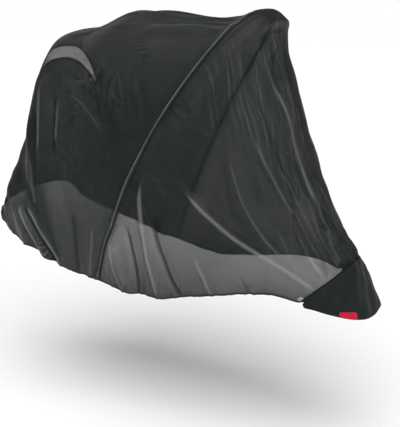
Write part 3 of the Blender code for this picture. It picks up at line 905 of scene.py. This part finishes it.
class Finish:
    """One material: a Principled shader and the nodes that feed it."""

    def __init__(self, name, roughness, sheen=0.0, sheen_roughness=0.5, specular=0.3):
        self.material = bpy.data.materials.new(name)
        self.material.use_nodes = True
        self.tree = self.material.node_tree
        self.shader = self.tree.nodes["Principled BSDF"]
        self.set("Roughness", roughness)
        self.set("Sheen Weight", sheen)
        self.set("Sheen Roughness", sheen_roughness)
        self.set("Specular IOR Level", specular)

    def set(self, socket, value):
        """Sets or links a socket of the shader."""
        if isinstance(value, Wire):
            self.tree.links.new(value.socket, self.shader.inputs[socket])
        else:
            self.shader.inputs[socket].default_value = value

    def add(self, kind, settings, sockets, output=0):
        """One node: its settings first, then its sockets from values or wires."""
        node = self.tree.nodes.new(kind)
        for key, value in settings.items():
            setattr(node, key, value)
        for key, value in sockets.items():
            if isinstance(value, Wire):
                self.tree.links.new(value.socket, node.inputs[key])
            else:
                node.inputs[key].default_value = value
        return Wire(self, node.outputs[output])

    def cloth(self):
        """The two cloth coordinates in metres."""
        uv = self.add("ShaderNodeUVMap", {"uv_map": CLOTH_UV}, {})
        return (self.add("ShaderNodeSeparateXYZ", {}, {0: uv}, 0),
                self.add("ShaderNodeSeparateXYZ", {}, {0: uv}, 1))

    def place(self):
        return self.add("ShaderNodeTexCoord", {}, {}, "Object")

    def attribute(self, name):
        return self.add("ShaderNodeAttribute", {"attribute_name": name}, {}, "Fac")

    def noise(self, scale, detail=3.0, roughness=0.55, where=None):
        return self.add("ShaderNodeTexNoise", {}, {
            "Vector": self.place() if where is None else where,
            "Scale": scale, "Detail": detail, "Roughness": roughness}, "Fac")

    def stretched(self, scales, turn=(0.0, 0.0, 0.0)):
        """Object coordinates turned and stretched, for streaky patterns."""
        return self.add("ShaderNodeMapping", {}, {"Vector": self.place(), "Rotation": turn, "Scale": scales})

    def blend(self, share, first, second):
        """A colour between two colours."""
        return self.add("ShaderNodeMix", {"data_type": "RGBA"}, {0: share, 6: first, 7: second}, 2)

    def bump(self, height, distance, strength=1.0, under=None):
        sockets = {"Height": height, "Distance": distance, "Strength": strength}
        if under is not None:
            sockets["Normal"] = under
        return self.add("ShaderNodeBump", {}, sockets)


def shade(colour, factor):
    """A colour made lighter or darker."""
    return (*(channel * factor for channel in colour[:3]), 1.0)


# How much crowding, sharp ridges and valleys close the net's holes, how much the fine light and dark
# lines open and close them, and how soft a hole's edge is, all as shares of the hole's radius or pitch
CROWDED, ON_RIDGE, IN_VALLEY, LIGHT_LINE, DARK_LINE, HOLE_EDGE = 0.50, 0.15, 0.22, 0.16, 0.20, 0.05
# Fine lines: how many lie in a metre across the cloth and along it, and how far they wander
LINES_ACROSS, LINES_ALONG, LINE_WANDER = 85.0, 3.0, 0.03


def net_finish(name, net, tightness):
    """Knitted net: round holes in staggered rows, see-through, in slightly glossy dark yarn."""
    finish = Finish(name, roughness=0.5, sheen=0.03, sheen_roughness=0.25, specular=0.18)
    across, along = finish.cloth()
    row_height = np.sqrt(3.0)
    column = across / net.pitch + along * (net.slant / net.pitch) + finish.noise(34.0, 2.0) * 0.9
    row = along / (net.pitch * row_height) - across * (net.slant / (net.pitch * row_height))

    def hole(offset):
        x = (column + offset).fraction() - 0.5
        y = ((row + offset).fraction() - 0.5) * row_height
        return x * x + y * y

    to_hole = hole(0.0).smallest(hole(0.5)).root()
    crease = finish.attribute(CREASE)
    ridge, valley = crease.between(0.4, 1.0), (crease * -1.0).between(0.2, 0.9)
    wander = finish.noise(5.0, 2.0) * LINE_WANDER
    lines = finish.noise(1.0, 2.0, 0.6, finish.add(
        "ShaderNodeCombineXYZ", {}, {"X": (across + wander) * LINES_ACROSS, "Y": along * LINES_ALONG}))
    light_line = lines.between(0.52, 0.70) * finish.attribute(PULL)
    dark_line = (lines * -1.0).between(-0.46, -0.30) * finish.attribute(PULL)
    looseness = finish.noise(11.0, 3.0) * 0.10 + 0.95
    closing = 1.0 - finish.attribute(CROWDING) * CROWDED - ridge * ON_RIDGE - valley * IN_VALLEY
    opening = closing + light_line * LIGHT_LINE - dark_line * DARK_LINE
    past_edge = to_hole - looseness * opening * (net.hole_radius * tightness)
    yarn = past_edge.between(-HOLE_EDGE, HOLE_EDGE)
    finish.set("Alpha", yarn * (net.yarn_cover - net.hole_cover) + net.hole_cover)
    mottle = finish.noise(26.0, 4.0)
    plain = finish.blend(mottle, shade(net.colour, 0.8), shade(net.colour, 1.25))
    # Painted highlight: the yarn is blended towards the light ridge colour along narrow ridges and the fine
    # light lines, in place of sheen
    finish.set("Base Color", finish.blend(ridge * 0.8 + light_line * 0.25, plain, net.ridge_highlight_colour))
    finish.set("Roughness", mottle * 0.18 + 0.36)
    knit = finish.bump((to_hole * 3.0).sine(), 0.15 * MM, 0.4)
    streaks = finish.noise(1.0, 4.0, 0.6, finish.stretched((16.0, 60.0, 22.0), (0.0, 0.35, 0.0)))
    finish.set("Normal", finish.bump(streaks, 4.0 * MM, 0.35, knit))
    return finish.material


def weave_height(finish, pitch):
    """A plain weave: raised where a warp thread passes over, staggered from thread to thread."""
    across, along = finish.cloth()
    warp = (across * (np.pi / pitch)).sine()
    weft = (along * (np.pi / pitch)).sine()
    return warp * weft


def woven_finish(name, colour, pitch, roughness, sheen, depth, mottling=0.3):
    """Close woven cloth: a fine weave in the bump, with slow changes of colour and roughness."""
    finish = Finish(name, roughness, sheen=sheen, sheen_roughness=0.4, specular=0.15)
    weave = weave_height(finish, pitch)
    mottle = finish.noise(40.0, 4.0)
    tone = (weave * 0.12 + mottle).between(0.15, 0.85)
    finish.set("Base Color", finish.blend(tone, shade(colour, 1 - mottling), shade(colour, 1 + mottling)))
    finish.set("Roughness", mottle * 0.2 + (roughness - 0.1))
    slack = finish.bump(finish.noise(30.0, 3.0), 2.0 * MM, 0.25)
    finish.set("Normal", finish.bump(weave, depth, 0.6, slack))
    return finish.material


def ribbed_finish(name, colour, rib, roughness, sheen):
    """Elastic or tape: fine ribs along it and cross threads, a little worn on its high parts."""
    finish = Finish(name, roughness, sheen=sheen, sheen_roughness=0.35, specular=0.2)
    edge, run = finish.cloth()
    ribs = (edge * (2 * np.pi / rib)).sine() * 0.5 + (run * (2 * np.pi / (rib * 0.8))).sine() * 0.25
    mottle = finish.noise(90.0, 3.0)
    tone = (ribs * 0.35 + mottle).between(0.1, 1.0)
    finish.set("Base Color", finish.blend(tone, shade(colour, 0.7), shade(colour, 1.5)))
    finish.set("Roughness", mottle * 0.2 + (roughness - 0.1))
    finish.set("Normal", finish.bump(ribs, 0.15 * MM, 0.6))
    return finish.material


def thread_finish(name, colour):
    """Twisted sewing thread: slanting twist lines in the bump."""
    finish = Finish(name, roughness=0.45, sheen=0.2, specular=0.4)
    twist = finish.noise(1.0, 2.0, 0.5, finish.stretched((900.0, 900.0, 1600.0)))
    finish.set("Base Color", finish.blend(twist, shade(colour, 0.7), shade(colour, 1.4)))
    finish.set("Normal", finish.bump(twist, 0.1 * MM, 0.5))
    return finish.material


def floor_finish():
    finish = Finish("pale_floor", roughness=0.9, specular=0.0)
    finish.set("Base Color", (0.93, 0.93, 0.93, 1.0))
    return finish.material


def trim_finish(kind):
    """The finish of a trim, made once and shared by the pieces that use it."""
    trims = bpy.context.scene.cover_trims
    makers = {
        "nose_weave": lambda: woven_finish(kind, trims.nose_colour, pitch=0.7 * MM, roughness=0.62,
                                           sheen=0.02, depth=0.12 * MM),
        "webbing_weave": lambda: woven_finish(kind, trims.webbing_colour, pitch=1.2 * MM, roughness=0.7,
                                              sheen=0.1, depth=0.3 * MM, mottling=0.2),
        "tag_weave": lambda: woven_finish(kind, trims.tag_colour, pitch=0.6 * MM, roughness=0.5,
                                          sheen=0.15, depth=0.12 * MM, mottling=0.12),
        "elastic": lambda: ribbed_finish(kind, trims.elastic_colour, rib=1.3 * MM, roughness=0.55,
                                         sheen=0.08),
        # Painted shadow: the turned net is real cloth, but its near-black colour stands in for the shade
        # along the seams
        "turned_net": lambda: ribbed_finish(kind, shade(trims.elastic_colour, 0.12), rib=1.0 * MM,
                                            roughness=0.8, sheen=0.0),
        # Painted highlight: the light finish of the strip beside the arched seam
        "piping": lambda: ribbed_finish(kind, trims.piping_colour, rib=0.9 * MM, roughness=0.5, sheen=0.15),
        "sewing_thread": lambda: thread_finish(kind, trims.thread_colour),
    }
    return bpy.data.materials.get(kind) or makers[kind]()


# Operators

def turned_edge(name, station, offset, lift, half_width, kind):
    """A narrow fold of cloth that runs beside a seam from hem to hem, in a near-black finish as painted
    shadow or a light one as painted highlight.
    """
    girth = np.linspace(0.002, 0.998, 500)
    middle = station + stations_for(offset, np.full(girth.shape, station), girth)
    profile = rounded_profile(half_width, FOLD_HALF_THICKNESS, 10)
    return add_strip(name, line_frame(middle, girth, lift), profile, trim_finish(kind))


def finish_cloth(node):
    """Hides the solid that a panel stands for."""
    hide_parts(node)


class CoverOperator(bpy.types.Operator):
    """Shared by the operators of this file."""
    bl_options = {"REGISTER", "UNDO"}

    def execute(self, context):
        if "rear_panel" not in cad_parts:
            raise RuntimeError("the packed model has no rear_panel to dress")
        self.make(context.scene)
        return {"FINISHED"}


class COVER_OT_rear_net(CoverOperator):
    """Net panel from the rear hem over the roof to the arched seam, with its slot"""
    bl_idname = "cover.rear_net"
    bl_label = "Rear net panel"

    def make(self, scene):
        net = scene.cover_net
        piece = make_rear_net(net_finish("rear_net_yarn", net, net.rear_tightness), net.thickness)
        finish_cloth("rear_panel")


class COVER_OT_front_net(CoverOperator):
    """Net panel from the arched seam over the peak down to the nose"""
    bl_idname = "cover.front_net"
    bl_label = "Front net panel"

    def make(self, scene):
        net = scene.cover_net
        piece = make_front_net(net_finish("front_net_yarn", net, 1.0), net.thickness)
        finish_cloth("front_panel")


class COVER_OT_nose_cloth(CoverOperator):
    """Woven cloth that closes the low front, with its topstitching"""
    bl_idname = "cover.nose_cloth"
    bl_label = "Woven nose"

    def make(self, scene):
        trims = scene.cover_trims
        piece = make_nose_cloth(trim_finish("nose_weave"), trims.nose_thickness, trims.nose_lift)
        finish_cloth("nose_panel")
        lift = trims.nose_lift + trims.nose_thickness / 2
        # A turned edge of net beside the nose seam, near black as a painted shadow line
        fold = turned_edge("nose_seam_shadow_fold", NOSE_SEAM, NOSE_SHADOW_FOLD_OFFSET, lift, NOSE_SHADOW_FOLD_HALF_WIDTH,
                           "turned_net")
        girth = np.linspace(0.012, 0.988, 260)
        rows = []
        for station in (NOSE_SEAM + 0.09, NOSE_HEM - 0.12):
            line = line_frame(np.full(girth.shape, station), girth, lift)
            rows.append(stitches_along(line, *NOSE_STITCH))
        add_stitches("nose_stitches", rows, trim_finish("sewing_thread"))


class COVER_OT_seam_tape(CoverOperator):
    """Tape that binds the arched seam, with two rows of stitches"""
    bl_idname = "cover.seam_tape"
    bl_label = "Seam tape"

    def make(self, scene):
        girth = np.linspace(0, 1, 720)
        line = line_frame(np.full(girth.shape, ARCHED_SEAM), girth)
        half_width = scene.cover_trims.tape_width / 2
        profile = rounded_profile(half_width, TAPE_HALF_THICKNESS, 14, TAPE_BEAD)
        tape = add_strip("arched_seam_tape", line, profile, trim_finish("elastic"))
        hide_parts("seam_binding")
        beside = half_width + BESIDE_TAPE
        # A turned edge of net beside the tape, near black as a painted shadow line
        turned_edge("seam_shadow_fold", ARCHED_SEAM, beside, *SEAM_SHADOW_FOLD, "turned_net")
        # A light strip beside the tape, its colour a painted highlight along the seam
        turned_edge("seam_highlight_piping", ARCHED_SEAM, -beside, *SEAM_HIGHLIGHT_PIPING, "piping")
        raised = line_frame(np.full(girth.shape, ARCHED_SEAM), girth, SEAM_STITCH_LIFT)
        rows = [stitches_along(raised, *SEAM_STITCH, offset=side * half_width * 0.6) for side in (-1, 1)]
        add_stitches("seam_stitches", rows, trim_finish("sewing_thread"))


class COVER_OT_hem_elastic(CoverOperator):
    """Gathered elastic round the open hem, with its zigzag stitches"""
    bl_idname = "cover.hem_elastic"
    bl_label = "Hem elastic"

    def make(self, scene):
        half_width = scene.cover_trims.hem_width / 2
        station, girth = hem_line(HEM_GAP + half_width)
        line = line_frame(station, girth)
        swell = gathered(running_length(line[0]), 3)
        profile = rounded_profile(half_width, HEM_HALF_THICKNESS, 10)
        hem = add_strip("hem_elastic", line, profile, trim_finish("elastic"), swell=swell)
        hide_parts("hem_binding")
        raised = line_frame(station, girth, HEM_STITCH_LIFT)
        row = stitches_along(raised, *HEM_STITCH, slant=HEM_STITCH_SLANT, offset=HEM_STITCH_OFFSET)
        add_stitches("hem_stitches", [row], trim_finish("sewing_thread"))


class COVER_OT_slot_elastic(CoverOperator):
    """Elastic round the slot in the back of the roof"""
    bl_idname = "cover.slot_elastic"
    bl_label = "Slot elastic"

    def make(self, scene):
        station, girth = slot_line(RIM_INSET)
        line = line_frame(station, girth, closed=True)
        swell = gathered(running_length(line[0]), 5)
        swell[-8:] += (swell[0] - swell[-1]) * np.linspace(0, 1, 8)
        profile = rounded_profile(RIM_HALF_WIDTH, RIM_HALF_THICKNESS, 10)
        ring = add_strip("slot_elastic", line, profile, trim_finish("elastic"), closed=True, swell=swell)
        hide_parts("slot_binding")


class COVER_OT_tabs_and_tag(CoverOperator):
    """Two webbing tabs where the hem meets the nose, and the plain red tag"""
    bl_idname = "cover.tabs_and_tag"
    bl_label = "Tabs and tag"

    def make(self, scene):
        far_girth = (1 - TAB_GIRTH[1], 1 - TAB_GIRTH[0])
        for name, girths, node in (("near_webbing_tab", TAB_GIRTH, "near_tab"),
                                   ("far_webbing_tab", far_girth, "far_tab")):
            tab = add_patch(name, TAB_STATIONS, girths, TAB_GRID, *TAB_SIZES, trim_finish("webbing_weave"))
            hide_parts(node)
        tag = add_patch("red_tag", TAG_STATIONS, TAG_GIRTH, TAG_GRID, *TAG_SIZES, trim_finish("tag_weave"))
        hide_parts("nose_tag")


class COVER_OT_stage(CoverOperator):
    """Pale floor, soft studio light and the camera"""
    bl_idname = "cover.stage"
    bl_label = "Stage"

    def make(self, scene):
        stage = scene.cover_stage
        self.make_floor(stage.floor_height)
        self.make_world(scene)
        scene.view_settings.view_transform = "Standard"
        for name, settings in LIGHTS.items():
            self.make_light(name, *settings)
        camera = bpy.data.cameras.new("camera")
        camera.lens = stage.lens
        viewer = bpy.data.objects.new("camera", camera)
        viewer.location = stage.camera_place
        viewer.rotation_euler = (np.pi / 2 - stage.camera_tilt, 0.0, stage.camera_turn)
        scene.collection.objects.link(viewer)
        scene.camera = viewer

    def make_floor(self, height):
        """A wide square of pale floor."""
        half = FLOOR_HALF_SIZE
        mesh = bpy.data.meshes.new("floor")
        corners = [(-half, -half, height), (half, -half, height), (half, half, height), (-half, half, height)]
        mesh.from_pydata(corners, [], [(0, 1, 2, 3)])
        mesh.materials.append(floor_finish())
        floor = bpy.data.objects.new("floor", mesh)
        bpy.context.scene.collection.objects.link(floor)

    def make_world(self, scene):
        """White where the camera sees it, and a dimmer even light on the cover."""
        world = bpy.data.worlds.new("studio")
        world.use_nodes = True
        scene.world = world
        tree = world.node_tree
        seen, fill = tree.nodes["Background"], tree.nodes.new("ShaderNodeBackground")
        for background, strength in ((seen, SEEN_LIGHT), (fill, FILL_LIGHT)):
            background.inputs["Color"].default_value = (1.0, 1.0, 1.0, 1.0)
            background.inputs["Strength"].default_value = strength
        rays = tree.nodes.new("ShaderNodeLightPath")
        either = tree.nodes.new("ShaderNodeMixShader")
        tree.links.new(rays.outputs["Is Camera Ray"], either.inputs[0])
        tree.links.new(fill.outputs[0], either.inputs[1])
        tree.links.new(seen.outputs[0], either.inputs[2])
        tree.links.new(either.outputs[0], tree.nodes["World Output"].inputs["Surface"])

    def make_light(self, name, towards, spread, strength):
        """A wide soft light from far away, given by the way towards it and how wide it looks."""
        light = bpy.data.lights.new(name, "SUN")
        light.energy = strength
        light.angle = np.radians(spread)
        lamp = bpy.data.objects.new(name, light)
        x, y, z = towards
        lamp.location = towards
        lamp.rotation_euler = (np.arctan2(np.hypot(x, y), z), 0.0, np.arctan2(y, x) + np.pi / 2)
        bpy.context.scene.collection.objects.link(lamp)


class COVER_PT_pieces(bpy.types.Panel):
    """Sidebar list of the cover's pieces"""
    bl_label = "Mesh cover"
    bl_space_type = "VIEW_3D"
    bl_region_type = "UI"
    bl_category = "Mesh Cover"

    def draw(self, context):
        for operator in OPERATORS:
            self.layout.operator(operator.bl_idname)
        for settings in (context.scene.cover_net, context.scene.cover_trims, context.scene.cover_stage):
            box = self.layout.box()
            for name in settings.__annotations__:
                box.prop(settings, name)


OPERATORS = (COVER_OT_rear_net, COVER_OT_front_net, COVER_OT_nose_cloth, COVER_OT_seam_tape,
             COVER_OT_hem_elastic, COVER_OT_slot_elastic, COVER_OT_tabs_and_tag, COVER_OT_stage)
CLASSES = (NetSettings, TrimSettings, StageSettings, *OPERATORS, COVER_PT_pieces)


def register():
    for item in CLASSES:
        bpy.utils.register_class(item)
    bpy.types.Scene.cover_net = bpy.props.PointerProperty(type=NetSettings)
    bpy.types.Scene.cover_trims = bpy.props.PointerProperty(type=TrimSettings)
    bpy.types.Scene.cover_stage = bpy.props.PointerProperty(type=StageSettings)


def unregister():
    del bpy.types.Scene.cover_stage
    del bpy.types.Scene.cover_trims
    del bpy.types.Scene.cover_net
    for item in reversed(CLASSES):
        bpy.utils.unregister_class(item)


def main():
    register()
    bpy.ops.cover.rear_net()
    bpy.ops.cover.front_net()
    bpy.ops.cover.nose_cloth()
    bpy.ops.cover.seam_tape()
    bpy.ops.cover.hem_elastic()
    bpy.ops.cover.slot_elastic()
    bpy.ops.cover.tabs_and_tag()
    bpy.ops.cover.stage()


if __name__ == "__main__":
    main()
